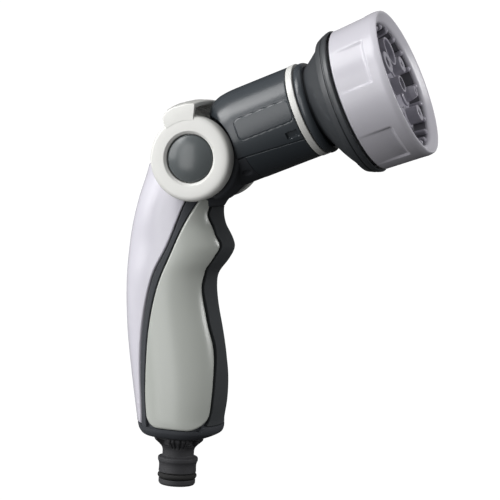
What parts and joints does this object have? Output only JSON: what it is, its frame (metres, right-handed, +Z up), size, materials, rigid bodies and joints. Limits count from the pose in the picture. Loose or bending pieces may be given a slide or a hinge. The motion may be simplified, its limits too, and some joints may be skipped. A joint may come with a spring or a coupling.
{
  "type": "hose spray nozzle",
  "caption": "Pistol-grip garden hose nozzle with a quick-connect tail, a rocking thumb lever round its hub and a turning pattern ring.",
  "frame": {"origin": "centre of the hose tail's lower end, on the tail's axis", "axes": "+Z up the hose tail's axis, +X the way the nozzle sprays, +Y its left side"},
  "size_m": [0.1287, 0.0618, 0.2024],
  "materials": {
    "tail_plastic": "satin black moulded plastic",
    "seal_rubber": "matt black rubber",
    "inner_plastic": "plain grey moulding",
    "silver_cover": "satin silver paint with a lilac tint",
    "pearl_panel": "pearl grey satin paint",
    "soft_rubber": "dark soft-touch overmould",
    "dark_frame": "fine-grained dark plastic",
    "dark_shell": "semi-gloss dark blue-grey plastic",
    "off_white": "satin off-white moulded plastic",
    "cap_plastic": "satin dark grey plastic",
    "silver_ring": "satin silver-grey plastic",
    "face_plastic": "semi-gloss lilac-grey plastic",
    "steel": "bright stainless steel"
  },
  "bodies": {
    "handle": {"hose_tail": "tail_plastic", "tail_o_ring": "seal_rubber", "inlet_tube": "inner_plastic", "inlet_o_ring": "seal_rubber", "rear_cover": "silver_cover", "side_panel_right": "pearl_panel", "side_panel_left": "pearl_panel", "front_grip": "soft_rubber", "frame_right": "dark_frame", "frame_left": "dark_frame", "frame_screw_1": "steel", "frame_screw_2": "steel", "frame_screw_3": "steel", "frame_screw_4": "steel", "valve_body": "inner_plastic", "valve_seat": "seal_rubber", "barrel_upper_shell": "dark_shell", "barrel_lower_shell": "dark_shell", "barrel_trim_ring": "off_white", "bell_lock_ring": "dark_shell", "outlet_tube": "inner_plastic", "outlet_o_ring": "seal_rubber", "bell": "soft_rubber", "head_carrier": "inner_plastic", "port_seal": "seal_rubber", "port_seal_spring": "steel", "detent_spring": "steel"},
    "lever": {"thumb_lever": "off_white", "valve_spool": "inner_plastic", "spool_o_ring_right": "seal_rubber", "spool_o_ring_left": "seal_rubber", "hub_cap_right": "cap_plastic", "hub_cap_left": "cap_plastic", "lever_screw_right": "steel", "lever_screw_left": "steel"},
    "spray_head": {"bezel_ring": "silver_ring", "spray_face": "face_plastic", "rotor_disc": "inner_plastic", "face_gasket": "seal_rubber", "head_washer": "steel", "head_screw": "steel"}
  },
  "joints": [
    {"name": "thumb_lever_pivot", "type": "hinge", "parent": "handle", "child": "lever", "pos_m": [0.0069, 0, 0.1388], "axis": [0, 1, 0], "range_deg": [-40, 0]},
    {"name": "spray_head_turn", "type": "hinge", "parent": "handle", "child": "spray_head", "pos_m": [0.00714, 0, 0.13825], "axis": [0.9171, 0, 0.3987], "continuous": true}
  ]
}
